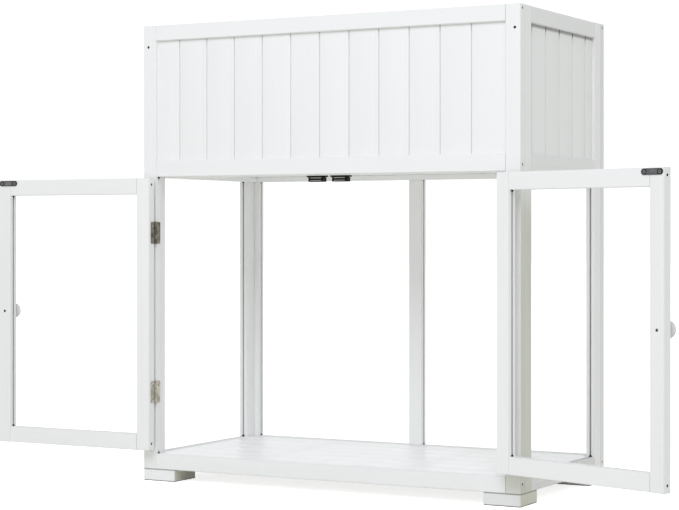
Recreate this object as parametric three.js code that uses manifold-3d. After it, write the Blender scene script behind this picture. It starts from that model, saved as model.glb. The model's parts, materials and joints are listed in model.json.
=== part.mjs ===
// A small wooden greenhouse: a glazed growing cabinet with two doors under an open planting trough.
// Millimetres, +Z up, doors on the -Y side, the ground at zero height.
import * as THREE from "three";
import { mergeVertices } from "three/addons/utils/BufferGeometryUtils.js";
import Module from "manifold-3d";

const wasm = await Module();
wasm.setup();

// Overall size and the main levels above the ground.
const overall_w = 900;
const overall_d = 440;
const overall_h = 990;
const foot_h = 26;
const mid_rail_top = 696;

// Frame timber: every wall is a frame of planed softwood of one thickness.
const frame_t = 20;
const stile_w = 33;
const side_stile_w = 33;
const mullion_w = 33;
const top_rail_h = 33;
const mid_rail_h = 35;
const base_rail_h = 33;
const arris = 1; // the planed-off corner along each stick
const foot_side = 81;

// The groove ploughed in the frames, and what fits in it.
const groove_w = 4;
const groove_d = 7;
const groove_overrun = 6; // how far the cutter runs on past a rail in the front posts
const fit_gap = 0.3; // clearance between pieces that are pushed or screwed together
const tongue_end_gap = 1; // air between a tongue and the bottom of its groove
const pane_t = 2.5;
const pane_end_gap = 0.6;
const pane_nip = 10; // the clipped corner of a pane

// Screw holes: in the frames they are bored deep enough to bury the heads.
const screw_hole_r = 3;
const screw_hole_depth = 4;
const face_screw_in = 12.5; // from the side edge of a front or rear post
const face_screw_down = 46.5;
const top_screw_down = 8;
const mid_screw_up = 13; // above the bottom of the middle rail
const base_screw_up = 18.5; // above the bottom of the base rail
const door_screw_in = 14; // from a door's end
const hole_facets = 12;

// Matchboard of the trough walls: boards with a V along each joint.
const board_pitch = 70;
const board_t = 8;
const board_v = 3;
const board_v_depth = 1.6;
const front_narrow_board = 57;
const side_narrow_board = 42;

// Floors: boards on a ring of bearers.
const floor_t = 12;
const floor_board_count = 6;
const bearer_w = 20;
const trough_bearer_h = 12;
const trough_bearer_drop = 2; // how far they hang below the middle rails
const base_floor_drop = 1; // floor surface below the top of the base rails

// Doors.
const door_gap = 3;
const door_bottom_gap = 9;
const door_stile_w = 33;
const door_rail_h = 35;
const left_door_open_deg = 180;
const right_door_open_deg = 162;

// Butt hinges: a folded leaf on the post and one on the door, with interleaved knuckles on a pin.
const hinge_h = 47;
const upper_hinge_down = 95; // from a door's top to the top of its upper hinge
const lower_hinge_up = 102; // from a door's bottom to the foot of its lower hinge
const leaf_reach = 17;
const leaf_t = 1;
const leaf_corner = 2;
const knuckle_r = 3;
const knuckle_count = 5;
const knuckle_gap = 0.4;
const pin_r = 1.5;
const pin_tip = 0.8;
const pin_head_r = 2.2;
const axis_proud = 0.5; // air between a knuckle and the front of the post
const knuckle_facets = 16;
const leaf_screw_end = 9; // from an end of the hinge
const leaf_screw_reach = 10; // from the middle of the pin
const leaf_hole_r = 1.9;
const leaf_sink_r = 3.2; // the flared mouth for a countersunk head

// Turned knobs.
const knob_r = 16.5;
const knob_neck_r = 6.5;
const knob_base_r = 9;
const knob_base_t = 4;
const knob_neck_h = 7;
const knob_head_h = 14;
const knob_facets = 24;
const knob_steps = 6;

// Magnetic catches under the trough, and their strike plates on the doors.
const catch_flange_w = 50;
const catch_flange_t = 3;
const catch_body_w = 36;
const catch_body_h = 10;
const catch_d = 14;
const catch_hole_r = 2;
const catch_from_middle = 28.5;
const pole_t = 1.2;
const pole_proud = 0.6;
const pole_inset = 5;
const strike_w = 50;
const strike_h = 14;
const strike_t = 1.2;
const strike_down = 0.5;
const strike_catch_gap = 0.5;
const strike_hole_r = 2;
const strike_sink_r = 3.4;
const round_facets = 6; // facets in a quarter turn of a small rounded outline

// Sizes that follow.
const frame_h = overall_h - foot_h;
const mid_rail_bottom = mid_rail_top - mid_rail_h;
const trough_tray_bottom = mid_rail_bottom - trough_bearer_drop;
const base_rail_top = foot_h + base_rail_h;
const top_rail_bottom = overall_h - top_rail_h;
const half_w = overall_w / 2;
const post_inner_x = half_w - stile_w;
const doorway_w = overall_w - 2 * stile_w;
const door_w = (doorway_w - 3 * door_gap) / 2;
const door_bottom = base_rail_top + door_bottom_gap;
const door_top = mid_rail_bottom - door_gap;
const door_h = door_top - door_bottom;
const half_gap = door_gap / 2;
const axis_y = -(knuckle_r + axis_proud);
const axis_x = post_inner_x - half_gap;
const tongue_t = groove_w - 2 * fit_gap;
const tongue_len = groove_d - tongue_end_gap;

const white = { color: 0xeceeec, roughness: 0.55, metalness: 0 };
const clear = {
  color: 0xe8f2f4,
  roughness: 0.08,
  metalness: 0,
  transparent: true,
  opacity: 0.3,
};
const aged_steel = { color: 0x8a7f6c, roughness: 0.45, metalness: 0.9 };
const plate_steel = { color: 0x55585c, roughness: 0.4, metalness: 0.9 };
const black_plastic = { color: 0x1d1b1a, roughness: 0.5, metalness: 0 };

function mesh(name, geometry, look, x = 0, y = 0, z = 0) {
  const made = new THREE.Mesh(geometry, new THREE.MeshStandardMaterial(look));
  made.name = name;
  made.position.set(x, y, z);
  return made;
}

// A closed geometry as a solid that can be cut and joined.
function solid(geometry) {
  const bare = geometry.clone();
  bare.deleteAttribute("normal");
  bare.deleteAttribute("uv");
  const merged = mergeVertices(bare);
  return new wasm.Manifold(
    new wasm.Mesh({
      numProp: 3,
      vertProperties: merged.getAttribute("position").array,
      triVerts: new Uint32Array(merged.index.array),
    }),
  );
}

function geometryOf(made) {
  const data = made.getMesh();
  const geometry = new THREE.BufferGeometry();
  geometry.setAttribute(
    "position",
    new THREE.BufferAttribute(new Float32Array(data.vertProperties), 3),
  );
  geometry.setIndex(new THREE.BufferAttribute(new Uint32Array(data.triVerts), 1));
  geometry.computeVertexNormals();
  return geometry;
}

function join(first, ...rest) {
  return geometryOf(rest.reduce((sum, g) => sum.add(solid(g)), solid(first)));
}

function cut(first, ...rest) {
  return geometryOf(rest.reduce((sum, g) => sum.subtract(solid(g)), solid(first)));
}

// A box from one corner to the opposite one.
function block(x0, x1, y0, y1, z0, z1) {
  const geometry = new THREE.BoxGeometry(x1 - x0, y1 - y0, z1 - z0);
  return geometry.translate((x0 + x1) / 2, (y0 + y1) / 2, (z0 + z1) / 2);
}

// A round hole to cut, from its mouth inwards along a direction, flared if its mouth is wider.
function hole(mouth, inwards, depth, radius, mouth_r = radius) {
  const flare = mouth_r - radius;
  const over = Math.min(flare, fit_gap);
  const points = [
    [0, -fit_gap],
    [mouth_r + over, -fit_gap],
    [radius, flare],
    [radius, Math.max(depth, flare + fit_gap)],
    [0, Math.max(depth, flare + fit_gap)],
  ];
  return new THREE.LatheGeometry(
    points.map(([r, h]) => new THREE.Vector2(r, h)),
    hole_facets,
  )
    .applyQuaternion(
      new THREE.Quaternion().setFromUnitVectors(
        new THREE.Vector3(0, 1, 0),
        new THREE.Vector3(...inwards),
      ),
    )
    .translate(...mouth);
}

function outline(points) {
  return new THREE.Shape(points.map(([u, v]) => new THREE.Vector2(u, v)));
}

// An outline given as [x, y], pushed up along Z.
function pushZ(points, length) {
  return new THREE.ExtrudeGeometry(outline(points), {
    depth: length,
    bevelEnabled: false,
  });
}

// An outline given as [y, z], pushed along X.
function pushX(points, length) {
  const turn = new THREE.Matrix4().makeBasis(
    new THREE.Vector3(0, 1, 0),
    new THREE.Vector3(0, 0, 1),
    new THREE.Vector3(1, 0, 0),
  );
  return pushZ(points, length).applyMatrix4(turn);
}

// An outline given as [x, z], pushed along Y.
function pushY(points, length) {
  const turn = new THREE.Matrix4().makeBasis(
    new THREE.Vector3(0, 0, 1),
    new THREE.Vector3(1, 0, 0),
    new THREE.Vector3(0, 1, 0),
  );
  return pushZ(
    points.map(([x, z]) => [z, x]),
    length,
  ).applyMatrix4(turn);
}

// The section of a planed stick, width along u and thickness along v, with its grooves.
function stickSection(width, low_groove, high_groove) {
  const side_a = (frame_t - groove_w) / 2;
  const side_b = side_a + groove_w;
  const points = [
    [arris, 0],
    [width - arris, 0],
    [width, arris],
  ];
  if (high_groove)
    points.push(
      [width, side_a],
      [width - groove_d, side_a],
      [width - groove_d, side_b],
      [width, side_b],
    );
  points.push(
    [width, frame_t - arris],
    [width - arris, frame_t],
    [arris, frame_t],
    [0, frame_t - arris],
  );
  if (low_groove)
    points.push([0, side_b], [groove_d, side_b], [groove_d, side_a], [0, side_a]);
  points.push([0, arris]);
  return points;
}

// A standing stick: width along X, thickness along Y, from its own foot up.
function upright(width, height, low_groove, high_groove) {
  return pushZ(stickSection(width, low_groove, high_groove), height);
}

// A rail between two uprights, with a stub tongue left on each end for their grooves.
function rail(length, height, low_groove, high_groove) {
  const section = stickSection(height, low_groove, high_groove);
  const bar = pushX(
    section.map(([u, v]) => [v, u]),
    length + 2 * tongue_len,
  ).translate(-tongue_len, 0, 0);
  const cheek = (frame_t - tongue_t) / 2;
  const past = tongue_len + fit_gap;
  const waste = [];
  for (const [x0, x1] of [
    [-past, 0],
    [length, length + past],
  ])
    for (const [y0, y1] of [
      [-fit_gap, cheek],
      [frame_t - cheek, frame_t + fit_gap],
    ])
      waste.push(block(x0, x1, y0, y1, -fit_gap, height + fit_gap));
  return cut(bar, ...waste);
}

// A stick between two rails, with the same stub tongues on its ends.
function mullion(height) {
  const bar = pushZ(
    stickSection(mullion_w, true, true),
    height + 2 * tongue_len,
  ).translate(0, 0, -tongue_len);
  const cheek = (frame_t - tongue_t) / 2;
  const past = tongue_len + fit_gap;
  const waste = [];
  for (const [z0, z1] of [
    [-past, 0],
    [height, height + past],
  ])
    for (const [y0, y1] of [
      [-fit_gap, cheek],
      [frame_t - cheek, frame_t + fit_gap],
    ])
      waste.push(block(-fit_gap, mullion_w + fit_gap, y0, y1, z0, z1));
  return cut(bar, ...waste);
}

// Where the joints of a run of boards fall, from the narrow board's end.
function jointPlaces(width, narrow) {
  const places = [];
  for (let at = narrow; width - at >= board_pitch; at += board_pitch)
    places.push(at);
  return places;
}

// The section of boards side by side, with a V in the v = 0 face at each joint.
function boardSection(width, thick, places) {
  const points = [[0, 0]];
  for (const at of places)
    points.push(
      [at - board_v / 2, 0],
      [at, board_v_depth],
      [at + board_v / 2, 0],
    );
  points.push([width, 0], [width, thick], [0, thick]);
  return points;
}

// A matchboard panel for an opening: its edges are rebated to a tongue that fills the frame's groove.
function boardPanel(width, height, narrow, narrow_first) {
  const body_w = width - 2 * fit_gap;
  const body_h = height - 2 * fit_gap;
  const places = jointPlaces(width, narrow)
    .map((at) => (narrow_first ? at : width - at))
    .map((at) => at - fit_gap)
    .sort((a, b) => a - b);
  const body = pushZ(boardSection(body_w, board_t, places), body_h).translate(
    fit_gap,
    0,
    fit_gap,
  );
  const tongue_y = (board_t - tongue_t) / 2;
  const tongue = block(
    -tongue_len,
    width + tongue_len,
    tongue_y,
    tongue_y + tongue_t,
    -tongue_len,
    height + tongue_len,
  );
  return join(body, tongue);
}

// A clear sheet that stands in the grooves round an opening, its corners clipped.
function pane(width, height) {
  const into = groove_d - pane_end_gap;
  const w = width + 2 * into;
  const h = height + 2 * into;
  const points = [
    [pane_nip, 0],
    [w - pane_nip, 0],
    [w, pane_nip],
    [w, h - pane_nip],
    [w - pane_nip, h],
    [pane_nip, h],
    [0, h - pane_nip],
    [0, pane_nip],
  ];
  return pushY(points, pane_t).translate(-into, 0, -into);
}

// One wall in its own frame: X along it, Y from its outer face inwards, Z from its foot.
// A doorway wall keeps its lower part open, and its posts are grooved only where rails enter.
// Corner posts have screw holes: into the rails' ends, and into the wall behind.
function wall(kind) {
  const group = new THREE.Group();
  const { width, post_w, names, narrow, narrow_first, lights, doorway } = kind;
  const clear_w = width - 2 * post_w;
  const mid_z = mid_rail_bottom - foot_h;
  const upper_z = mid_rail_top - foot_h;
  const upper_h = top_rail_bottom - mid_rail_top;
  const lower_h = mid_rail_bottom - base_rail_top;
  const add = (...args) => group.add(mesh(...args));

  for (const [name, x, low] of [
    [names.low_post, 0, false],
    [names.high_post, width - post_w, true],
  ]) {
    let post = upright(post_w, frame_h, low, !low);
    if (doorway) {
      const face = low ? 0 : post_w - groove_d;
      const filled = block(
        face,
        face + groove_d,
        (frame_t - groove_w) / 2,
        (frame_t + groove_w) / 2,
        base_rail_h + groove_overrun,
        mid_z - groove_overrun,
      );
      post = join(post, filled);
    }
    if (kind.corner_posts) {
      const edge = low ? post_w : 0;
      const inwards = low ? -1 : 1;
      const heights = [
        base_screw_up,
        mid_z + mid_screw_up,
        frame_h - top_screw_down,
      ];
      const holes = heights.map((z) =>
        hole(
          [edge, frame_t / 2, z],
          [inwards, 0, 0],
          screw_hole_depth,
          screw_hole_r,
        ),
      );
      const face_hole = hole(
        [edge + inwards * face_screw_in, 0, frame_h - face_screw_down],
        [0, 1, 0],
        screw_hole_depth,
        screw_hole_r,
      );
      post = cut(post, ...holes, face_hole);
    }
    add(name, post, white, x);
  }
  const prefix = names.prefix;
  const rail_w = clear_w - 2 * fit_gap;
  const rail_x = post_w + fit_gap;
  add(
    prefix + "_top_rail",
    rail(rail_w, top_rail_h, true, false),
    white,
    rail_x,
    0,
    frame_h - top_rail_h,
  );
  add(
    prefix + "_mid_rail",
    rail(rail_w, mid_rail_h, !doorway, true),
    white,
    rail_x,
    0,
    mid_z,
  );
  add(
    prefix + "_base_rail",
    rail(rail_w, base_rail_h, false, !doorway),
    white,
    rail_x,
  );
  add(
    prefix + "_boards",
    boardPanel(clear_w, upper_h, narrow, narrow_first),
    white,
    post_w,
    (frame_t - board_t) / 2,
    upper_z,
  );
  if (lights > 1)
    add(
      prefix + "_mullion",
      mullion(lower_h),
      white,
      (width - mullion_w) / 2,
      0,
      base_rail_h,
    );
  const light_w = (clear_w - (lights - 1) * mullion_w) / lights;
  for (let i = 0; i < lights; i++)
    add(
      names.panes[i],
      pane(light_w, lower_h),
      clear,
      post_w + i * (light_w + mullion_w),
      (frame_t - pane_t) / 2,
      base_rail_h,
    );
  return group;
}

// Floor boards that lie on a ring of bearers, nailed up as one tray.
function floorTray(bearer_h) {
  const width = overall_w - 2 * frame_t - 2 * fit_gap;
  const depth = overall_d - 2 * frame_t - 2 * fit_gap;
  const pitch = depth / floor_board_count;
  const places = [];
  for (let i = 1; i < floor_board_count; i++) places.push(i * pitch);
  const section = boardSection(depth, floor_t, places);
  const boards = pushX(
    section.map(([u, v]) => [u, bearer_h + floor_t - v]),
    width,
  );
  const ring = outline([
    [0, 0],
    [width, 0],
    [width, depth],
    [0, depth],
  ]);
  ring.holes.push(
    new THREE.Path([
      new THREE.Vector2(bearer_w, bearer_w),
      new THREE.Vector2(bearer_w, depth - bearer_w),
      new THREE.Vector2(width - bearer_w, depth - bearer_w),
      new THREE.Vector2(width - bearer_w, bearer_w),
    ]),
  );
  const bearers = new THREE.ExtrudeGeometry(ring, {
    depth: bearer_h,
    bevelEnabled: false,
  });
  return join(boards, bearers);
}

// A square block with all its edges planed off.
function foot() {
  const near = 2 * arris;
  const far = foot_side - near;
  const points = [
    [near, arris],
    [far, arris],
    [foot_side - arris, near],
    [foot_side - arris, far],
    [far, foot_side - arris],
    [near, foot_side - arris],
    [arris, far],
    [arris, near],
  ];
  return new THREE.ExtrudeGeometry(outline(points), {
    depth: foot_h - 2 * arris,
    bevelEnabled: true,
    bevelThickness: arris,
    bevelSize: arris,
    bevelSegments: 1,
  }).translate(0, 0, arris);
}

// Points round a quarter of a circle about [cu, cv], from an angle in degrees.
function quarter(cu, cv, radius, from_deg) {
  const points = [];
  for (let i = 0; i <= round_facets; i++) {
    const angle = THREE.MathUtils.degToRad(from_deg + (90 * i) / round_facets);
    points.push([cu + radius * Math.cos(angle), cv + radius * Math.sin(angle)]);
  }
  return points;
}

// A bar with full round ends, lying along X about the origin.
function roundEndBar(width, height) {
  const radius = height / 2;
  const reach = width / 2 - radius;
  const right = [
    ...quarter(reach, 0, radius, -90),
    ...quarter(reach, 0, radius, 0).slice(1),
  ];
  return [...right, ...right.map(([u, v]) => [-u, -v])];
}

// A magnetic catch hanging from its flange: case, screw ears and the two pole plates at the front.
function magneticCatch() {
  const flange = pushZ(roundEndBar(catch_flange_w, catch_d), catch_flange_t);
  const half = catch_body_w / 2;
  const ease = arris;
  const body = pushY(
    [
      [-half, 0],
      [-half, -catch_body_h + ease],
      [-half + ease, -catch_body_h],
      [half - ease, -catch_body_h],
      [half, -catch_body_h + ease],
      [half, 0],
    ],
    catch_d,
  ).translate(0, -catch_d / 2, 0);
  const front = -catch_d / 2;
  const pole_z = (catch_body_h - 2 * pole_t) / 3;
  const poles = [pole_z, 2 * pole_z + pole_t].map((down) =>
    block(
      -half + pole_inset,
      half - pole_inset,
      front - pole_proud,
      front + pole_t,
      -down - pole_t,
      -down,
    ),
  );
  const ear = (catch_flange_w - catch_body_w) / 4 + half;
  const holes = [-ear, ear].map((x) =>
    new THREE.CylinderGeometry(catch_hole_r, catch_hole_r, 3 * catch_flange_t, 2 * round_facets)
      .rotateX(Math.PI / 2)
      .translate(x, 0, 0),
  );
  return cut(join(flange, body, ...poles), ...holes);
}

// A turned knob on a round base, along +Y from the door's outer face.
function knob() {
  const points = [
    [0, 0],
    [knob_base_r, 0],
    [knob_base_r, knob_base_t - arris],
    [knob_base_r - arris, knob_base_t],
    [knob_neck_r, knob_base_t + arris],
    [knob_neck_r, knob_neck_h],
  ];
  for (let i = 1; i <= knob_steps; i++) {
    const angle = (Math.PI * i) / (2 * knob_steps);
    points.push([
      knob_neck_r + (knob_r - knob_neck_r) * Math.sin(angle),
      knob_neck_h + (knob_head_h / 2) * (1 - Math.cos(angle)),
    ]);
  }
  for (let i = 1; i < knob_steps; i++) {
    const angle = (Math.PI * i) / (2 * knob_steps);
    points.push([
      knob_r * Math.cos(angle),
      knob_neck_h + (knob_head_h / 2) * (1 + Math.sin(angle)),
    ]);
  }
  points.push([0, knob_neck_h + knob_head_h]);
  return new THREE.LatheGeometry(
    points.map(([r, h]) => new THREE.Vector2(r, h)),
    knob_facets,
  );
}

// Heights of the ends of each knuckle along a hinge, from its foot.
function knuckleSpans() {
  const each = (hinge_h - (knuckle_count - 1) * knuckle_gap) / knuckle_count;
  const spans = [];
  for (let i = 0; i < knuckle_count; i++) {
    const from = i * (each + knuckle_gap);
    spans.push([from, from + each]);
  }
  return spans;
}

// The comb-edged leaf as [y, z]: it reaches the pin only at its own knuckles.
function leafOutline(own, root) {
  const notch = knuckle_r + knuckle_gap;
  const points = [
    [leaf_reach, leaf_corner],
    [leaf_reach, hinge_h - leaf_corner],
    [leaf_reach - leaf_corner, hinge_h],
  ];
  const spans = knuckleSpans();
  for (let i = knuckle_count - 1; i >= 0; i--) {
    const mine = i % 2 === own;
    const top = i === knuckle_count - 1 ? hinge_h : spans[i][1] + (mine ? 0 : knuckle_gap);
    const bottom = i === 0 ? 0 : spans[i][0] - (mine ? 0 : knuckle_gap);
    const near = mine ? root : notch;
    points.push([near, top], [near, bottom]);
  }
  points.push([leaf_reach - leaf_corner, 0]);
  return points;
}

// The countersunk screw holes of a leaf whose open face looks back along the direction given.
function leafHoles(near, inwards) {
  return [leaf_screw_end, hinge_h - leaf_screw_end].map((z) =>
    hole(
      [inwards * near, leaf_screw_reach, z],
      [inwards, 0, 0],
      leaf_t + fit_gap,
      leaf_hole_r,
      leaf_sink_r,
    ),
  );
}

// The leaf screwed to the post: knuckles 1, 3 and 5 with the pin riveted in them, turned as one.
function postLeaf(side) {
  const points = [
    [0, -pin_tip],
    [pin_head_r, -pin_tip],
    [pin_head_r, 0],
  ];
  knuckleSpans().forEach(([from, to], i) => {
    if (i % 2 === 1) return;
    points.push([knuckle_r, from], [knuckle_r, to]);
    if (i < knuckle_count - 1)
      points.push([pin_r, to], [pin_r, knuckleSpans()[i + 2][0]]);
  });
  points.push(
    [pin_head_r, hinge_h],
    [pin_head_r, hinge_h + pin_tip],
    [0, hinge_h + pin_tip],
  );
  const barrel = new THREE.LatheGeometry(
    points.map(([r, h]) => new THREE.Vector2(r, h)),
    knuckle_facets,
  ).rotateX(Math.PI / 2);
  const near = half_gap - fit_gap - leaf_t;
  const leaf = pushX(leafOutline(0, 0), leaf_t).translate(
    side > 0 ? -near - leaf_t : near,
    0,
    0,
  );
  return cut(join(barrel, leaf), ...leafHoles(near, -side));
}

// The leaf screwed to the door: knuckles 2 and 4, bored to turn on the pin.
function doorLeaf(side) {
  const bore = pin_r + fit_gap;
  const near = half_gap - fit_gap - leaf_t;
  const root = (bore + knuckle_r) / 2;
  const leaf = pushX(leafOutline(1, root), leaf_t).translate(
    side > 0 ? near : -near - leaf_t,
    0,
    0,
  );
  const rings = [];
  knuckleSpans().forEach(([from, to], i) => {
    if (i % 2 === 0) return;
    const ring = [
      [bore, from],
      [knuckle_r, from],
      [knuckle_r, to],
      [bore, to],
      [bore, from],
    ];
    rings.push(
      new THREE.LatheGeometry(
        ring.map(([r, h]) => new THREE.Vector2(r, h)),
        knuckle_facets,
      ).rotateX(Math.PI / 2),
    );
  });
  return cut(join(leaf, ...rings), ...leafHoles(near, side));
}

// The plate on a door that the catch holds: full round ends, a sunk screw hole in each.
function strikePlate() {
  const holes = [-1, 1].map((end) =>
    hole(
      [(end * (strike_w - strike_h)) / 2, strike_t, 0],
      [0, -1, 0],
      strike_t + fit_gap,
      strike_hole_r,
      strike_sink_r,
    ),
  );
  return cut(pushY(roundEndBar(strike_w, strike_h), strike_t), ...holes);
}

// A door about its hinge axis, closed: side +1 runs to +X and -1 to -X.
// Its outer face is flush with the cabinet's front, and shoulders keep a hairline gap.
function door(side, prefix) {
  const group = new THREE.Group();
  const span = (from, to) => (side > 0 ? from : -to);
  const face_y = -axis_y;
  const hinge_edge = half_gap;
  const free_edge = half_gap + door_w;
  const stile_low_groove = (near_hinge) => near_hinge !== side > 0;
  const add = (...args) => group.add(mesh(...args));
  for (const [name, from, near_hinge] of [
    ["_hinge_stile", hinge_edge, true],
    ["_free_stile", free_edge - door_stile_w, false],
  ]) {
    const low = stile_low_groove(near_hinge);
    const holes = [door_screw_in, door_h - door_screw_in].map((z) =>
      hole(
        [low ? door_stile_w : 0, frame_t / 2, z],
        [low ? -1 : 1, 0, 0],
        screw_hole_depth,
        screw_hole_r,
      ),
    );
    add(
      prefix + name,
      cut(upright(door_stile_w, door_h, low, !low), ...holes),
      white,
      span(from, from + door_stile_w),
      face_y,
      door_bottom,
    );
  }
  const rail_from = hinge_edge + door_stile_w + fit_gap;
  const rail_to = free_edge - door_stile_w - fit_gap;
  for (const [name, z, low] of [
    ["_top_rail", door_top - door_rail_h, true],
    ["_bottom_rail", door_bottom, false],
  ])
    add(
      prefix + name,
      rail(rail_to - rail_from, door_rail_h, low, !low),
      white,
      span(rail_from, rail_to),
      face_y,
      z,
    );
  const light_from = hinge_edge + door_stile_w;
  const light_to = free_edge - door_stile_w;
  add(
    prefix + "_pane",
    pane(light_to - light_from, door_h - 2 * door_rail_h),
    clear,
    span(light_from, light_to),
    face_y + (frame_t - pane_t) / 2,
    door_bottom + door_rail_h,
  );
  const knob_mesh = mesh(
    prefix + "_knob",
    knob(),
    white,
    side * (free_edge - door_stile_w / 2),
    face_y - fit_gap,
    (door_bottom + door_top) / 2,
  );
  knob_mesh.rotation.z = Math.PI;
  group.add(knob_mesh);
  add(
    prefix + "_strike",
    strikePlate(),
    plate_steel,
    side * (free_edge + half_gap - catch_from_middle),
    face_y + frame_t + fit_gap,
    door_top - strike_down - strike_h / 2,
  );
  return group;
}

const greenhouse = new THREE.Group();

const front = wall({
  width: overall_w,
  post_w: stile_w,
  narrow: front_narrow_board,
  narrow_first: true,
  lights: 0,
  doorway: true,
  corner_posts: true,
  names: {
    prefix: "front",
    low_post: "front_stile_left",
    high_post: "front_stile_right",
    panes: [],
  },
});
front.position.set(-half_w, 0, foot_h);

const rear = wall({
  width: overall_w,
  post_w: stile_w,
  narrow: front_narrow_board,
  narrow_first: true,
  lights: 2,
  doorway: false,
  corner_posts: true,
  names: {
    prefix: "rear",
    low_post: "rear_stile_right",
    high_post: "rear_stile_left",
    panes: ["rear_pane_right", "rear_pane_left"],
  },
});
rear.position.set(half_w, overall_d, foot_h);
rear.rotation.z = Math.PI;

const right_side = wall({
  width: overall_d - 2 * frame_t,
  post_w: side_stile_w,
  narrow: side_narrow_board,
  narrow_first: false,
  lights: 1,
  doorway: false,
  corner_posts: false,
  names: {
    prefix: "right_side",
    low_post: "right_side_front_stile",
    high_post: "right_side_rear_stile",
    panes: ["right_side_pane"],
  },
});
right_side.position.set(half_w, frame_t, foot_h);
right_side.rotation.z = Math.PI / 2;

const left_side = wall({
  width: overall_d - 2 * frame_t,
  post_w: side_stile_w,
  narrow: side_narrow_board,
  narrow_first: true,
  lights: 1,
  doorway: false,
  corner_posts: false,
  names: {
    prefix: "left_side",
    low_post: "left_side_rear_stile",
    high_post: "left_side_front_stile",
    panes: ["left_side_pane"],
  },
});
left_side.position.set(-half_w, overall_d - frame_t, foot_h);
left_side.rotation.z = -Math.PI / 2;

greenhouse.add(front, rear, right_side, left_side);

const tray_x = -half_w + frame_t + fit_gap;
const tray_y = frame_t + fit_gap;
const base_bearer_h = base_rail_top - base_floor_drop - floor_t - foot_h;
greenhouse.add(
  mesh(
    "planter_floor",
    floorTray(trough_bearer_h),
    white,
    tray_x,
    tray_y,
    trough_tray_bottom,
  ),
  mesh("base_floor", floorTray(base_bearer_h), white, tray_x, tray_y, foot_h),
);

for (const [name, x, y] of [
  ["foot_front_left", -half_w, 0],
  ["foot_front_right", half_w - foot_side, 0],
  ["foot_rear_left", -half_w, overall_d - foot_side],
  ["foot_rear_right", half_w - foot_side, overall_d - foot_side],
])
  greenhouse.add(mesh(name, foot(), white, x, y));

const pole_y = frame_t + fit_gap + strike_t + strike_catch_gap;
const catch_y = pole_y + pole_proud + catch_d / 2;
for (const [name, x] of [
  ["catch_left", -catch_from_middle],
  ["catch_right", catch_from_middle],
])
  greenhouse.add(
    mesh(
      name,
      magneticCatch(),
      black_plastic,
      x,
      catch_y,
      trough_tray_bottom - catch_flange_t,
    ),
  );

for (const [side, prefix, open_deg] of [
  [1, "left_door", left_door_open_deg],
  [-1, "right_door", right_door_open_deg],
]) {
  const leaf_group = door(side, prefix);
  for (const [level, z] of [
    ["upper", door_top - upper_hinge_down - hinge_h],
    ["lower", door_bottom + lower_hinge_up],
  ]) {
    const name = prefix.replace("door", level + "_hinge");
    leaf_group.add(
      mesh(name + "_door_leaf", doorLeaf(side), aged_steel, 0, 0, z),
    );
    greenhouse.add(
      mesh(
        name + "_post_leaf",
        postLeaf(side),
        aged_steel,
        -side * axis_x,
        axis_y,
        z,
      ),
    );
  }
  leaf_group.position.set(-side * axis_x, axis_y, 0);
  leaf_group.rotation.z = -side * THREE.MathUtils.degToRad(open_deg);
  greenhouse.add(leaf_group);
}

// The origin is the middle of the ground that the greenhouse covers with its doors as they stand.
const covered = new THREE.Box3().setFromObject(greenhouse, true);
const middle = covered.getCenter(new THREE.Vector3());
greenhouse.position.set(-middle.x, -middle.y, 0);

const part = new THREE.Group();
part.add(greenhouse);

export default part;
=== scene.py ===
import json
import math

import bmesh
import bpy
from mathutils import Matrix, Vector


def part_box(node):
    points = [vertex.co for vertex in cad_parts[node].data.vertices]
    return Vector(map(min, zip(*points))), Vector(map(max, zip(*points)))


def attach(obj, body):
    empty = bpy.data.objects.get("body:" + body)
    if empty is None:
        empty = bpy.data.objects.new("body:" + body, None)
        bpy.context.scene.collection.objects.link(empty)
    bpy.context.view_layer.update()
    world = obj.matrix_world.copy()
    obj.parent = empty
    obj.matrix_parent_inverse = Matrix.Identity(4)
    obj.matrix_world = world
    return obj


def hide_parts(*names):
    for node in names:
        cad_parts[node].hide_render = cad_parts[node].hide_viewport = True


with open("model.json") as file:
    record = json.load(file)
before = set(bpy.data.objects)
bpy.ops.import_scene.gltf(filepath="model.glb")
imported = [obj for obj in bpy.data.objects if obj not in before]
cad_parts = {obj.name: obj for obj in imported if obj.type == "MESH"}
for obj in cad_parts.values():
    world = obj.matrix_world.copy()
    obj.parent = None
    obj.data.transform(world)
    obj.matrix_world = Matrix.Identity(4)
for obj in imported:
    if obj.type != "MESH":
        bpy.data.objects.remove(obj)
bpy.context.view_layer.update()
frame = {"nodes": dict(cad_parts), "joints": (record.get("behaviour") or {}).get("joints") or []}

# Posts and rails of the cabinet: planed pine with its long corners taken off, grooved for the
# boards and panes, stub-jointed and screwed. It is sprayed with satin white that thins out on
# the corners and lets the grain stand as fine ridges.


class Worked:
    """A number, place or colour that a node works out. Each sum done on it adds a node to its tree."""

    def __init__(self, socket):
        self.socket = socket
        self.tree = socket.id_data

    def __add__(self, more):
        return reckon("ADD", self, more)

    def __sub__(self, less):
        return reckon("SUBTRACT", self, less)

    def __rsub__(self, whole):
        return reckon("SUBTRACT", whole, self)

    def __mul__(self, times):
        return reckon("MULTIPLY", self, times)

    def __truediv__(self, parts):
        return reckon("DIVIDE", self, parts)

    def __pow__(self, power):
        return reckon("POWER", self, power)

    def __abs__(self):
        return reckon("ABSOLUTE", self)


def feed(node, inputs):
    """Sets a node's inputs, each to a value or to what another node works out."""
    for where, value in inputs.items():
        if isinstance(value, Worked):
            value.tree.links.new(value.socket, node.inputs[where])
        else:
            node.inputs[where].default_value = value


def put(tree, kind, inputs=None, **settings):
    """Adds a node with its properties and its inputs set."""
    node = tree.nodes.new(kind)
    for name, value in settings.items():
        setattr(node, name, value)
    feed(node, inputs or {})
    return node


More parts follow.
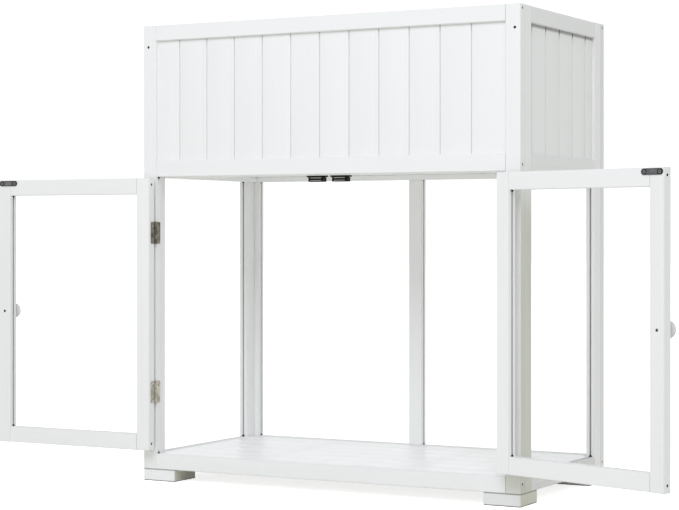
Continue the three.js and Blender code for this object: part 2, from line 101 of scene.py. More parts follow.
def step(tree, kind, inputs=None, output=0, **settings):
    """Adds a node and gives one of its outputs: the first, unless another is asked for."""
    return Worked(put(tree, kind, inputs, **settings).outputs[output])


def tree_of(values):
    """The tree that works out the values, some of which may be plain numbers."""
    return next(value.tree for value in values if isinstance(value, Worked))


def is_place(value):
    """Whether a value has three parts, as a place, a size or a colour has."""
    if isinstance(value, Worked):
        return value.socket.type in ("VECTOR", "RGBA")
    return isinstance(value, (tuple, Vector))


def reckon(operation, *values, clamp=False):
    """A sum done on numbers, or part by part on places. A place times a number is scaled."""
    tree = tree_of(values)
    inputs = dict(enumerate(values))
    places = [value for value in values if is_place(value)]
    if not places:
        return step(tree, "ShaderNodeMath", inputs, operation=operation, use_clamp=clamp)
    if operation == "MULTIPLY" and len(places) == 1:
        times = values[0] if is_place(values[1]) else values[1]
        inputs = {0: places[0], "Scale": times}
        operation = "SCALE"
    return step(tree, "ShaderNodeVectorMath", inputs, operation=operation)


def measured(operation, *values):
    """A number worked out from places: a length, or how far one goes along another."""
    inputs = dict(enumerate(values))
    return step(tree_of(values), "ShaderNodeVectorMath", inputs, 1, operation=operation)


def parted(place):
    """The three parts of a place."""
    return [Worked(part) for part in put(place.tree, "ShaderNodeSeparateXYZ", {0: place}).outputs]


def joined(x=0.0, y=0.0, z=0.0):
    """A place from its three parts."""
    return step(tree_of((x, y, z)), "ShaderNodeCombineXYZ", {0: x, 1: y, 2: z})


def fade(value, start, end, at_start=0.0, at_end=1.0):
    """A soft step from one value to another."""
    inputs = {0: value, 1: start, 2: end, 3: at_start, 4: at_end}
    return step(value.tree, "ShaderNodeMapRange", inputs, interpolation_type="SMOOTHSTEP")


def blended(share, under, over):
    """One colour laid over another."""
    return step(share.tree, "ShaderNodeMix", {0: share, 6: under, 7: over}, 2, data_type="RGBA")


def speckle(place, stretch, detail=2.0, output="Fac"):
    """Noise with its own fineness, per metre, along each direction."""
    inputs = {"Vector": place * stretch, "Scale": 1.0, "Detail": detail}
    return step(place.tree, "ShaderNodeTexNoise", inputs, output)


def effect_group(name, kind, inputs, outputs):
    """An empty node group with named sockets; gives the tree, its inputs and its last node. An input is
    named with its first value, or with its form where it has none."""
    tree = bpy.data.node_groups.new(name, kind)
    forms = {float: "Float", int: "Int", 3: "Vector", 4: "Color"}
    for socket, value in inputs.items():
        if isinstance(value, str):
            form = value
        else:
            form = forms[len(value) if isinstance(value, tuple) else type(value)]
        made = tree.interface.new_socket(name=socket, in_out="INPUT", socket_type="NodeSocket" + form)
        if form != value:
            made.default_value = value
    for socket, form in outputs.items():
        tree.interface.new_socket(name=socket, in_out="OUTPUT", socket_type="NodeSocket" + form)
    given = {socket.name: Worked(socket) for socket in put(tree, "NodeGroupInput").outputs}
    return tree, given, put(tree, "NodeGroupOutput")


def effect(group, inputs):
    """Lays a shared effect into the material that works out its inputs; gives what it puts out."""
    node = put(tree_of(inputs.values()), "ShaderNodeGroup", inputs, node_tree=group)
    return [Worked(socket) for socket in node.outputs]


def new_look(name):
    """A new material, its node tree and its shader."""
    look = bpy.data.materials.new(name)
    look.use_nodes = True
    return look, look.node_tree, look.node_tree.nodes["Principled BSDF"]


def own_place(tree, turn, hub, middle=Vector()):
    """Where a point lies in a frame turned about an upright through hub, counted from middle."""
    place = step(tree, "ShaderNodeTexCoord", output="Object")
    shift = Matrix.Rotation(-turn, 3, "Z") @ -Vector(hub) - middle
    inputs = {"Vector": place, "Location": shift, "Rotation": (0.0, 0.0, -turn)}
    return step(tree, "ShaderNodeMapping", inputs)


def pine_grain_group():
    """Growth rings round a pith that lies off the stick, and fibres, both running along Z."""
    tree, given, made = effect_group(
        "pine_grain",
        "ShaderNodeTree",
        {
            "Position": "Vector",
            "Pith": (0.03, -0.05, 0.0),
            "Ring spacing": 0.0036,
            "Wander": 0.009,
            "Seed": 0.0,
        },
        {"Rings": "Float", "Fibres": "Float", "Blotches": "Float"},
    )
    shifted = given["Position"] + given["Seed"] * (1.31, 2.17, 3.71)
    drift = speckle(shifted, (9.0, 9.0, 1.4), 2.0, "Color") - (0.5, 0.5, 0.5)
    outward = given["Position"] - given["Pith"] + drift * given["Wander"]
    reach = measured("LENGTH", outward * (1.0, 1.0, 0.0))
    age = reckon("FRACT", reach / given["Ring spacing"])
    late_wood = age ** 2.6
    sharp_end = reckon("MULTIPLY", 1.0 - age, 9.0, clamp=True)
    strong = fade(speckle(shifted, (60.0, 60.0, 5.0)), 0.3, 0.7, 0.35, 1.0)
    results = {
        "Rings": late_wood * sharp_end * strong,
        "Fibres": speckle(shifted, (1200.0, 1200.0, 24.0)),
        "Blotches": speckle(shifted, (7.0, 7.0, 1.6), 3.0),
    }
    feed(made, results)
    return tree


def stick_edges_group():
    """How near a point of a stick lies to one of its long or short edges, a little ragged, and how
    far the surface falls away there where a plane has rounded the edge."""
    tree, given, made = effect_group(
        "stick_edges",
        "ShaderNodeTree",
        {
            "Position": "Vector",
            "Low corner": (0.0, 0.0, 0.0),
            "High corner": (1.0, 1.0, 1.0),
            "Reach": 0.0016,
            "Raggedness": 0.7,
            "Rounding": 0.0018,
        },
        {"Edge": "Float", "Fall": "Float"},
    )
    from_low = given["Position"] - given["Low corner"]
    from_high = given["High corner"] - given["Position"]
    x, y, z = parted(reckon("MINIMUM", from_low, from_high))
    lesser = reckon("MINIMUM", x, y)
    greater = reckon("MAXIMUM", x, y)
    second = reckon("MAXIMUM", lesser, reckon("MINIMUM", greater, z))
    ragged = speckle(given["Position"], (210.0, 210.0, 210.0)) - 0.5
    reach = (ragged * given["Raggedness"] + 0.5) * 2.0 * given["Reach"]
    short = reckon("MAXIMUM", given["Rounding"] - second, 0.0)
    fall = short * short / given["Rounding"] * -0.45
    feed(made, {"Edge": fade(second, 0.0, reach, 1.0, 0.0), "Fall": fall})
    return tree


def facing_of(tree):
    """The way that the surface faces, in its three parts."""
    return parted(step(tree, "ShaderNodeNewGeometry", output="Normal"))


def settled_dust_group():
    """Fine dust on faces that look up, in soft patches."""
    tree, given, made = effect_group(
        "settled_dust",
        "ShaderNodeTree",
        {"Position": "Vector", "Patches per metre": 14.0, "Amount": 1.0},
        {"Dust": "Float"},
    )
    upwards = fade(facing_of(tree)[2], 0.55, 0.95)
    spread = given["Position"] * given["Patches per metre"]
    patches = fade(speckle(spread, (1.0, 1.0, 1.0), 4.0), 0.35, 0.75, 0.15, 1.0)
    feed(made, {"Dust": upwards * patches * given["Amount"]})
    return tree


def open_groove_group():
    """Marks what lies inside a cut in a stick, and the dark notches: the screw holes in its outer half
    and the places where its groove stands open beside a nipped pane. The stick's length is Z and its
    middle is 0; the groove is in the middle of its thickness."""
    tree, given, made = effect_group(
        "open_groove",
        "ShaderNodeTree",
        {
            "Position": "Vector",
            "Half size": (0.0165, 0.01, 0.482),
            "Grooved side": (1.0, 0.0, 0.0),
            "Across": (0.0, 1.0, 0.0),
            "Lower end": 0.0,
            "Upper end": 0.0,
            "Deeper than": 0.0008,
            "Notch": 0.0046,
        },
        {"Inside": "Float", "Notch": "Float"},
    )
    place = given["Position"]
    deep_x, deep_y, from_end = parted(given["Half size"] - abs(place))
    depth = reckon("MINIMUM", reckon("MINIMUM", deep_x, deep_y), from_end)
    deep = fade(depth, given["Deeper than"], given["Deeper than"] * 1.6)
    length = parted(place)[2]
    to_lower = abs(length - given["Lower end"])
    to_upper = abs(length - given["Upper end"])
    up = reckon("MINIMUM", to_lower, to_upper) / given["Notch"]
    sideways = measured("DOT_PRODUCT", place, given["Across"]) / given["Notch"] * 1.05
    apart = reckon("SQRT", up * up + sideways * sideways)
    facing = reckon("GREATER_THAN", measured("DOT_PRODUCT", place, given["Grooved side"]), -0.001)
    notch = fade(apart, 0.8, 1.05, 1.0, 0.0) * facing
    bored = deep * (1.0 - facing)
    feed(made, {"Inside": deep, "Notch": reckon("MAXIMUM", notch, bored)})
    return tree


pine_grain = pine_grain_group()
stick_edges = stick_edges_group()
settled_dust = settled_dust_group()
open_groove = open_groove_group()
white_paint = (0.90, 0.904, 0.90, 1.0)
# Painted shade: the next five colours stand in for shade inside cuts and holes, in board joints, in deep
# notches and along shaded edges, on the feet's cut ends, and for the open right door's shadow.
painted_cut_shade = (0.55, 0.54, 0.50, 1.0)
joint_shade = (0.17, 0.165, 0.14, 1.0)
painted_deep_shade = (0.012, 0.011, 0.009, 1.0)
painted_end_shade = (0.64, 0.633, 0.54, 1.0)
painted_door_shadow = (0.583, 0.583, 0.503, 1.0)
paint_over_rings = (0.815, 0.812, 0.79, 1.0)
thin_paint = (0.80, 0.788, 0.75, 1.0)
grey_dust = (0.70, 0.69, 0.66, 1.0)
board_ends = Vector((0.0, 0.0, 0.02))
order_along = {"X": (1, 2, 0), "Y": (2, 0, 1), "Z": (0, 1, 2)}


def groove_marks(colour, lengthwise, order, middle, half, grooved):
    """Painted shade in a stick's cuts, and near-black painted shade in its screw holes and open groove ends.
    """
    side, ends, groove_shade = grooved
    thin = min(range(3), key=lambda i: half[i])
    groove = {
        "Position": lengthwise,
        "Half size": [half[i] for i in order],
        "Grooved side": [side[i] for i in order],
        "Across": [float(i == thin) for i in order],
        "Lower end": ends[0] - middle.z,
        "Upper end": ends[1] - middle.z,
    }
    inside, notch = effect(open_groove, groove)
    colour = blended(inside * groove_shade, colour, painted_cut_shade)
    return blended(notch, colour, painted_deep_shade)


def door_shadow_share(height, blotches, below):
    """Painted shadow of the open door: on the outer face under a height, and all round in its lowest tenth.
    """
    outer = fade(facing_of(height.tree)[0], 0.6, 0.9)
    share = fade(height, below - 0.18, below, 1.0, 0.0) * outer
    all_round = fade(height, 0.09 * below, 0.1 * below, 0.6, 0.0)
    return reckon("MAXIMUM", share, all_round) * fade(blotches, 0.2, 0.7, 0.8, 1.0)


def joint_marks(colour, parts, half, head, amount):
    """Painted shade in the V between boards, and painted shadow at its head and on its open tongue."""
    down = half.y - abs(parts[1])
    colour = blended(fade(down, 0.0004, 0.0016, 0.0, amount), colour, joint_shade)
    at_head = fade(parts[2], head - 0.026, head - 0.007, 0.0, amount)
    head_shadow = at_head * fade(down, 0.0001, 0.0008)
    tongue_shadow = fade(half.x - abs(parts[0]), 0.0018, 0.0032, 1.4 * amount ** 2, 0.0)
    tongue_shadow = tongue_shadow * fade(parts[2], head - 0.013, head - 0.008)
    return blended(reckon("MAXIMUM", head_shadow, tongue_shadow), colour, painted_deep_shade)


def edge_shade(colour, level, end, at_low, at_high, reach):
    """Paints shade along the low and the high edge of a stick; level is counted from its middle."""
    near_low = fade(level + end, 0.4 * reach, reach, at_low, 0.0)
    near_high = fade(end - level, 0.4 * reach, reach, at_high, 0.0)
    return blended(reckon("MAXIMUM", near_low, near_high), colour, painted_deep_shade)


def painted_pine(
    name, low, high, along, seed, turn=0.0, hub=(0.0, 0.0, 0.0), board_wide=False, ring_mm=3.6,
    grooved=None, shaded_edges=None, light_tone=1.0, gloss=0.0, joint_shade_share=0.0, shaded_cut_ends=False,
    door_shadow_below=None,
):
    """White paint over pine. low and high are the stick's corners in its own frame, which is turned
    about an upright through hub; along is the way of the grain. A board-wide paint reads each board's own
    place. grooved gives the grooved side, the two heights where the groove stands open beside a pane and
    how much painted shade lies inside it. shaded_edges gives an axis, how much painted shade lies along the
    low and the high edge across it, and how far it reaches. shaded_cut_ends puts painted shade on the cut
    ends.
    door_shadow_below gives the height under which the outer face carries the painted shadow of the door."""
    paint, tree, shader = new_look(name)
    middle = (Vector(low) + Vector(high)) / 2
    half = (Vector(high) - Vector(low)) / 2
    if board_wide:
        place = step(tree, "ShaderNodeAttribute", output="Vector", attribute_name="board_place")
        number = step(tree, "ShaderNodeAttribute", output="Fac", attribute_name="board_no")
        seed_value = number * 1.73 + seed
    else:
        place = own_place(tree, turn, hub, middle)
        seed_value = seed
    parts = parted(place)
    order = order_along[along]
    lengthwise = joined(*(parts[j] for j in order))
    grain = {
        "Position": lengthwise,
        "Pith": (0.02 + 0.013 * math.sin(5.3 * seed), -0.045 - 0.02 * math.cos(3.1 * seed), 0.0),
        "Ring spacing": ring_mm / 1000,
        "Wander": 0.011,
        "Seed": seed_value,
    }
    rings, fibres, blotches = effect(pine_grain, grain)
    corners = {
        "Position": place,
        "Low corner": low - board_ends if board_wide else -half,
        "High corner": high + board_ends if board_wide else half,
        "Reach": 0.0017,
    }
    edge, fall = effect(stick_edges, corners)
    dust = effect(settled_dust, {"Position": place, "Amount": 0.16})[0]

    colour = blended(rings * 0.3, white_paint, paint_over_rings)
    colour = blended(edge * 0.42, colour, thin_paint)
    # Painted light and shade: whiter makes the whole paint lighter or darker, over a random blotchy tone.
    colour = colour * fade(blotches, 0.25, 0.75, 0.975 * light_tone, light_tone)
    colour = blended(dust, colour, grey_dust)
    if grooved:
        colour = groove_marks(colour, lengthwise, order, middle, half, grooved)
    # Painted shadow of the open door.
    if door_shadow_below:
        share = door_shadow_share(parts[2] + middle.z, blotches, door_shadow_below)
        colour = blended(share, colour, painted_door_shadow)
    # Painted shade on the cut ends, the faces that the grain runs into.
    if shaded_cut_ends:
        cut_end_shade = fade(abs(facing_of(tree)["XYZ".index(along)]), 0.6, 0.9)
        colour = blended(cut_end_shade, colour, painted_end_shade)
    if joint_shade_share:
        colour = joint_marks(colour, parts, half, high.z, joint_shade_share)
    if shaded_edges:
        axis, at_low, at_high, reach = shaded_edges
        axis = "XYZ".index(axis)
        level = parts[axis] - middle[axis] if board_wide else parts[axis]
        colour = edge_shade(colour, level, half[axis], at_low, at_high, reach)

    peel = speckle(place, (520.0, 520.0, 520.0), 2.0)
    height = rings * 0.8 + fibres * 0.45 + peel * 0.25
    rounded = step(tree, "ShaderNodeBump", {"Strength": 1.0, "Distance": 1.0, "Height": fall})
    relief = {"Strength": 0.5, "Distance": 0.00035, "Height": height, "Normal": rounded}
    surface = {
        "Base Color": colour,
        "Roughness": rings * 0.10 + (0.36 - gloss) + peel * 0.10 + dust * 0.9,
        "Normal": step(tree, "ShaderNodeBump", relief),
        "IOR": 1.5,
    }
    feed(shader, surface)
    return paint


def corners_of(piece, turn=0.0, hub=(0.0, 0.0, 0.0)):
    """The lowest and highest corner of a piece in a frame turned about an upright through hub."""
    back = Matrix.Rotation(-turn, 3, "Z")
    spots = [back @ (v.co - Vector(hub)) for v in piece.data.vertices]
    low = Vector([min(p[i] for p in spots) for i in range(3)])
    high = Vector([max(p[i] for p in spots) for i in range(3)])
    return low, high


def longest(low, high):
    """The way that a stick between two corners runs, which is the way of its grain."""
    return "XYZ"[max(range(3), key=lambda i: high[i] - low[i])]


def dress(piece, look):
    """Gives a piece one material all over."""
    piece.data.materials.clear()
    piece.data.materials.append(look)


cabinet_sticks = [
    f"{wall}_{part}"
    for wall, parts in {
        "front": ("stile_left", "stile_right", "top_rail", "mid_rail", "base_rail"),
        "rear": ("stile_left", "stile_right", "top_rail", "mid_rail", "base_rail", "mullion"),
        "left_side": ("front_stile", "rear_stile", "top_rail", "mid_rail", "base_rail"),
        "right_side": ("front_stile", "rear_stile", "top_rail", "mid_rail", "base_rail"),
    }.items()
    for part in parts
]
window_heights = (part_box("front_base_rail")[1].z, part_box("front_mid_rail")[0].z)
inwards = {"stile_left": (1, 0, 0), "stile_right": (-1, 0, 0)}
inwards |= {"front_stile": (0, 1, 0), "rear_stile": (0, -1, 0)}
# Painted shade in the groove: how much lies in these sticks' grooves; the others take 1.
groove_shade_shares = {"left_side_rear_stile": 0.1, "right_side_rear_stile": 0.1, "rear_stile_left": 0.3}
# Painted light and shade: these sticks' paint is lighter or darker to stand in for the light that reaches
# them.
stick_light_tones = {"right_side_top_rail": 0.945, "right_side_mid_rail": 0.92, "right_side_base_rail": 0.81}
stick_light_tones |= {"rear_stile_right": 0.90, "rear_stile_left": 1.04}
stick_light_tones |= {"left_side_front_stile": 1.04, "left_side_rear_stile": 1.04, "rear_mullion": 1.03}
for count, name in enumerate(cabinet_sticks):
    stick = frame["nodes"][name]
    low, high = corners_of(stick)
    along = longest(low, high)
    side = next((way for part, way in inwards.items() if name.endswith(part)), (0, 0, 0))
    look = painted_pine(
        "white_" + name, low, high, along, 0.61 * count,
        grooved=(side, window_heights, groove_shade_shares.get(name, 1.0)) if along == "Z" else None,
        # Painted shade along the front base rail's ends, darkest at the right one.
        shaded_edges=("X", 0.15, 1.0, 0.0036) if name == "front_base_rail" else None,
        light_tone=stick_light_tones.get(name, 1.0),
        # The right front post and side stile carry the painted shadow of the open right door.
        door_shadow_below=0.70 if name in ("right_side_front_stile", "front_stile_right") else None,
    )
    dress(stick, look)

# Matchboard of the planting trough: narrow pine boards, tongued and grooved, that stand side by
# side in the grooves of the frames. Each board's corners are eased, so a V shows at every joint,
# and the tongues lie behind it.


def marked(geometry, name, value, **settings):
    """Stores a value on a geometry under a name that its paint can read."""
    inputs = {"Geometry": geometry, "Name": name, "Value": value}
    return step(geometry.tree, "GeometryNodeStoreNamedAttribute", inputs, **settings)


def finish_tree(geometry, finish, made):
    """Ends a geometry tree: its copies are made real and given their finish."""
    whole = step(geometry.tree, "GeometryNodeRealizeInstances", {"Geometry": geometry})
    whole = step(geometry.tree, "GeometryNodeSetMaterial", {"Geometry": whole, "Material": finish})
    feed(made, {"Geometry": whole})


def matchboard_tree():
    """Boards side by side along X, each standing along Z, with their tongues as a sheet between them."""
    tree, given, made = effect_group(
        "matchboard",
        "GeometryNodeTree",
        {
            "Geometry": "Geometry",
            "Panel width": 0.8,
            "Panel height": 0.3,
            "First board": 0.057,
            "Board cover": 0.07,
            "Boards": 12,
            "Board thickness": 0.008,
            "Eased corner": 0.0021,
            "Joint gap": 0.0004,
            "Tucked in": -0.0004,
            "Tongue thickness": 0.0034,
            "Tongue reach": 0.006,
            "Paint": "Material",
        },
        {"Geometry": "Geometry"},
    )
    width = given["Panel width"]
    height = given["Panel height"]
    first = given["First board"]
    cover = given["Board cover"]
    tucked = given["Tucked in"]
    section = {"Width": cover - given["Joint gap"], "Height": given["Board thickness"]}
    section = step(tree, "GeometryNodeCurvePrimitiveQuadrilateral", section)
    section = {"Curve": section, "Radius": given["Eased corner"], "Count": 3}
    section = step(tree, "GeometryNodeFilletCurve", section, mode="POLY")
    upright = {"Start": joined(z=tucked * -1.0), "End": joined(z=height + tucked)}
    upright = step(tree, "GeometryNodeCurvePrimitiveLine", upright)
    board = {"Curve": upright, "Profile Curve": section, "Fill Caps": True}
    board = step(tree, "GeometryNodeCurveToMesh", board)
    own_spot = step(tree, "GeometryNodeInputPosition")
    board = marked(board, "board_place", own_spot, data_type="FLOAT_VECTOR", domain="POINT")
    half_cover = cover * 0.5
    start_x = first - half_cover
    row = {"Count": given["Boards"], "Start Location": joined(start_x), "Offset": joined(cover)}
    row = step(tree, "GeometryNodeMeshLine", row, mode="OFFSET")
    boards = step(tree, "GeometryNodeInstanceOnPoints", {"Points": row, "Instance": board})
    number = step(tree, "GeometryNodeInputIndex")
    boards = marked(boards, "board_no", number, data_type="FLOAT", domain="INSTANCE")
    boards = step(tree, "GeometryNodeRealizeInstances", {"Geometry": boards})

    # The first and the last board are cut to what is left of the opening.
    across = parted(own_spot)[0]
    last_end = (given["Boards"] - 1.0) * cover + first
    in_first = reckon("LESS_THAN", across, start_x)
    in_last = reckon("GREATER_THAN", across, last_end - half_cover)
    moved = in_first * (cover - first - tucked) + in_last * (width - last_end + tucked)
    boards = step(tree, "GeometryNodeSetPosition", {"Geometry": boards, "Offset": joined(moved)})

    reach = given["Tongue reach"] * 2.0
    sheet = {"Size": joined(reach + width, given["Tongue thickness"], reach + height)}
    sheet = step(tree, "GeometryNodeMeshCube", sheet)
    sheet = {"Geometry": sheet, "Translation": joined(width * 0.5, z=height * 0.5)}
    whole = put(tree, "GeometryNodeJoinGeometry")
    for piece in (step(tree, "GeometryNodeTransform", sheet), boards):
        feed(whole, {0: piece})
    finish_tree(Worked(whole.outputs[0]), given["Paint"], made)
    return tree


def in_scene(name, data):
    """A new object in the scene."""
    piece = bpy.data.objects.new(name, data)
    bpy.context.scene.collection.objects.link(piece)
    return piece


def grown(name, tree, sizes, seat=None, places=None):
    """Runs a geometry tree with its named sizes and keeps the result as a plain mesh at its seat."""
    holder = in_scene(name + "_start", places or bpy.data.meshes.new(name + "_start"))
    modifier = holder.modifiers.new(name, "NODES")
    modifier.node_group = tree
    for item in tree.interface.items_tree:
        if item.item_type == "SOCKET" and item.in_out == "INPUT" and item.name in sizes:
            modifier[item.identifier] = sizes[item.name]
    holder.update_tag()
    evaluated = holder.evaluated_get(bpy.context.evaluated_depsgraph_get())
    mesh = bpy.data.meshes.new_from_object(evaluated)
    mesh.name = name
    bpy.data.objects.remove(holder)
    if seat is not None:
        mesh.transform(seat)
    return in_scene(name, mesh)


matchboard = matchboard_tree()
tongue_reach = 0.006
board_cover = 0.07
board_t = 0.008
tucked_in = 0.0025

# For each run of boards: the way it faces in degrees, how wide its first board shows, and its boards.
runs = {
    "front": (0, 0.057, 12),
    "rear": (180, 0.057, 12),
    "right_side": (90, 0.0145, 6),
    "left_side": (-90, 0.042, 5),
}
for count, (wall, (facing, first_board, boards)) in enumerate(runs.items()):
    low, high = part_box(wall + "_boards")
    middle = (low + high) / 2
    on_side = facing % 180 == 90
    panel_w = (high.y - low.y if on_side else high.x - low.x) - 2 * tongue_reach
    panel_h = high.z - low.z - 2 * tongue_reach
    seat = (
        Matrix.Translation((middle.x, middle.y, low.z + tongue_reach))
        @ Matrix.Rotation(math.radians(facing), 4, "Z")
        @ Matrix.Translation((-panel_w / 2, 0.0, 0.0))
    )
    paint = painted_pine(
        f"white_{wall}_matchboard",
        Vector((-board_cover / 2, -board_t / 2, 0.0)),
        Vector((board_cover / 2, board_t / 2, panel_h)),
        "Z",
        7.3 + 2.9 * count,
        board_wide=True,
        ring_mm=4.4,
        # Painted shade in the board joints, and painted shadow in a band under the top rail, stronger on the
        # sides.
        joint_shade_share=0.7 if on_side else 0.16,
        shaded_edges=("Z", 0.0, 0.62, 0.009) if on_side else ("Z", 0.0, 0.12, 0.0045),
    )
    sizes = {
        "Panel width": panel_w,
        "Panel height": panel_h,
        "First board": first_board,
        "Board cover": board_cover,
        "Boards": boards,
        "Board thickness": board_t,
        "Tucked in": tucked_in,
        "Tongue reach": tongue_reach,
        "Paint": paint,
    }
    panel = grown(wall + "_matchboard", matchboard, sizes, seat)
    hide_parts(wall + "_boards")
    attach(panel, "cabinet")

# Floors of the trough and of the cabinet: six pine boards laid side by side and nailed down on a
# ring of bearers. The boards run from left to right.


def keep_built(build, name):
    """Turns a built shape into a piece."""
    mesh = bpy.data.meshes.new(name)
    build.to_mesh(mesh)
    build.free()
    return in_scene(name, mesh)


def eased_bar(name, low, high, eased, seat=None):
    """A straight bar or plate between two corners, with every edge rounded a little."""
    build = bmesh.new()
    bmesh.ops.create_cube(build, size=1.0)
    for v in build.verts:
        v.co = Vector([low[i] if v.co[i] < 0 else high[i] for i in range(3)])
    bmesh.ops.bevel(build, geom=build.edges[:], offset=eased, segments=2, profile=0.5, affect="EDGES")
    if seat is not None:
        bmesh.ops.transform(build, matrix=seat, verts=build.verts[:])
    return keep_built(build, name)


def bearer(name, low, high, seed):
    """A planed bar of the ring that the floor lies on."""
    bar = eased_bar(name, low, high, bearer_eased)
    dress(bar, painted_pine("white_" + name, low, high, longest(low, high), seed, light_tone=floor_light_tone))
    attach(bar, "cabinet")
    return bar


def nailing_tree():
    """Nail heads in a grid, driven just under the paint, each set a little off its line."""
    tree, given, made = effect_group(
        "nailing",
        "GeometryNodeTree",
        {
            "Geometry": "Geometry",
            "Length": 0.8,
            "Spread": 0.36,
            "Columns": 2,
            "Rows": 12,
            "Head radius": 0.0016,
            "Head rise": 0.0003,
            "Stray": 0.0012,
            "Seed": 3,
            "Paint": "Material",
        },
        {"Geometry": "Geometry"},
    )
    grid = {
        "Size X": given["Length"],
        "Size Y": given["Spread"],
        "Vertices X": given["Columns"],
        "Vertices Y": given["Rows"],
    }
    grid = step(tree, "GeometryNodeMeshGrid", grid)
    stray = {
        "Min": given["Stray"] * (-1.0, -1.0, 0.0),
        "Max": given["Stray"] * (1.0, 1.0, 0.0),
        "Seed": given["Seed"],
    }
    stray = step(tree, "FunctionNodeRandomValue", stray, data_type="FLOAT_VECTOR")
    grid = step(tree, "GeometryNodeSetPosition", {"Geometry": grid, "Offset": stray})
    head = {"Segments": 12, "Rings": 6, "Radius": given["Head radius"]}
    head = step(tree, "GeometryNodeMeshUVSphere", head)
    flat = joined(1.0, 1.0, given["Head rise"] / given["Head radius"])
    head = step(tree, "GeometryNodeTransform", {"Geometry": head, "Scale": flat})
    driven = step(tree, "GeometryNodeInstanceOnPoints", {"Points": grid, "Instance": head})
    finish_tree(driven, given["Paint"], made)
    return tree


nailing = nailing_tree()
floor_boards = 6
floor_board_t = 0.012
floor_eased = 0.0012
floor_tongue_t = 0.004
floor_tongue_short = 0.002
bearer_w = 0.02
bearer_eased = 0.0008
# Painted light: the floors' boards and bearers are painted lighter than the rest.
floor_light_tone = 1.06
nails_sunk = 0.0001
boards_run_along_x = Matrix(((0, 0, 1, 0), (1, 0, 0, 0), (0, 1, 0, 0), (0, 0, 0, 1)))
for count, floor in enumerate(("planter_floor", "base_floor")):
    low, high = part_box(floor)
    length = high.x - low.x
    depth = high.y - low.y
    cover = depth / floor_boards
    under = high.z - floor_board_t
    seed = 21.7 + 5.1 * count
    boards_paint = painted_pine(
        f"white_{floor}_boards",
        Vector((-cover / 2, -floor_board_t / 2, 0.0)),
        Vector((cover / 2, floor_board_t / 2, length)),
        "Z",
        seed,
        board_wide=True,
        ring_mm=4.8,
        light_tone=floor_light_tone,
        gloss=0.15,
    )
    sizes = {
        "Panel width": depth,
        "Panel height": length,
        "First board": cover,
        "Board cover": cover,
        "Boards": floor_boards,
        "Board thickness": floor_board_t,
        "Eased corner": floor_eased,
        "Tongue thickness": floor_tongue_t,
        "Tongue reach": -floor_tongue_short,
        "Paint": boards_paint,
    }
    seat = Matrix.Translation((low.x, low.y, high.z - floor_board_t / 2)) @ boards_run_along_x
    boards = grown(floor + "_boards", matchboard, sizes, seat)
    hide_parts(floor)
    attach(boards, "cabinet")
    bars = {
        "front": ((low.x, low.y), (high.x, low.y + bearer_w)),
        "rear": ((low.x, high.y - bearer_w), (high.x, high.y)),
        "left": ((low.x, low.y + bearer_w), (low.x + bearer_w, high.y - bearer_w)),
        "right": ((high.x - bearer_w, low.y + bearer_w), (high.x, high.y - bearer_w)),
    }
    for number, (side, (near, far)) in enumerate(bars.items()):
        bar_seed = seed + 0.9 * (number + 1)
        bar = bearer(f"{floor}_{side}_bearer", (*near, low.z), (*far, under), bar_seed)
        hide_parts(floor)
    sizes = {
        "Length": length - bearer_w,
        "Spread": depth - cover / 2,
        "Rows": 2 * floor_boards,
        "Seed": 3 + count,
        "Paint": painted_pine(f"white_{floor}_nails", low, high, "X", seed + 6.0),
    }
    seat = Matrix.Translation(((low.x + high.x) / 2, (low.y + high.y) / 2, high.z - nails_sunk))
    nails = grown(floor + "_nails", nailing, sizes, seat)
    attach(nails, "cabinet")

# Feet: four square blocks of thick pine, screwed up under the corners and painted all over. Their
# cut ends carry painted shade, and painted shade darkens the line under the posts and the line along the
# floor.

# Painted light and shade: how light each foot's paint is for the light that reaches it, darkest on the front
# right one in the right door's shadow.
foot_light_tones = {
    "foot_front_left": 0.995,
    "foot_front_right": 0.91,
    "foot_rear_left": 0.955,
    "foot_rear_right": 0.955,
}
for count, (foot, foot_tone) in enumerate(foot_light_tones.items()):
    block = frame["nodes"][foot]
    low, high = corners_of(block)
    look = painted_pine(
        "white_" + foot, low, high, "X", 33.1 + 0.83 * count,
        ring_mm=5.0,
        shaded_edges=("Z", 0.9, 0.6, 0.0028),
        light_tone=foot_tone,
        shaded_cut_ends=True,
    )
    dress(block, look)

# Panes: clear plastic sheet, 2.5 mm thick with nipped corners, slid into the grooves before the
# frames were screwed together. It is almost unseen, with a faint haze of handling and dust.


def clear_sheet(name, middle, half_height):
    """Clear plastic, hazier low down and where hands touched it, with a painted reflection seen edge on."""
    sheet, tree, shader = new_look(name)
    place = step(tree, "ShaderNodeTexCoord", output="Object")
    smears = fade(speckle(place, (16.0, 16.0, 9.0), 5.0), 0.5, 0.8)
    specks = fade(speckle(place, (420.0, 420.0, 420.0), 1.0), 0.68, 0.8)
    height = parted(place - middle)[2]
    low_down = fade(height, -half_height, -0.6 * half_height, 1.0, 0.0)
    haze = low_down * 0.5 + smears
    edge_on_reflection = step(tree, "ShaderNodeLayerWeight", {"Blend": 0.5}, "Facing")
    # Painted reflection: the sheet shows more of its pale colour seen edge on.
    shown = edge_on_reflection ** 5.0 * 0.22 + 0.004 + haze * 0.010
    surface = {
        "Base Color": blended(haze, (0.90, 0.95, 0.955, 1.0), (0.93, 0.935, 0.925, 1.0)),
        "Roughness": haze * 0.14 + 0.045,
        "Alpha": reckon("ADD", specks * 0.03, shown, clamp=True),
        "IOR": 1.49,
    }
    feed(shader, surface)
    return sheet


panes = ["rear_pane_left", "rear_pane_right", "left_side_pane", "right_side_pane"]
panes += ["left_door_pane", "right_door_pane"]
for name in panes:
    pane = frame["nodes"][name]
    low, high = corners_of(pane)
    dress(pane, clear_sheet("clear_" + name, (low + high) / 2, (high.z - low.z) / 2))

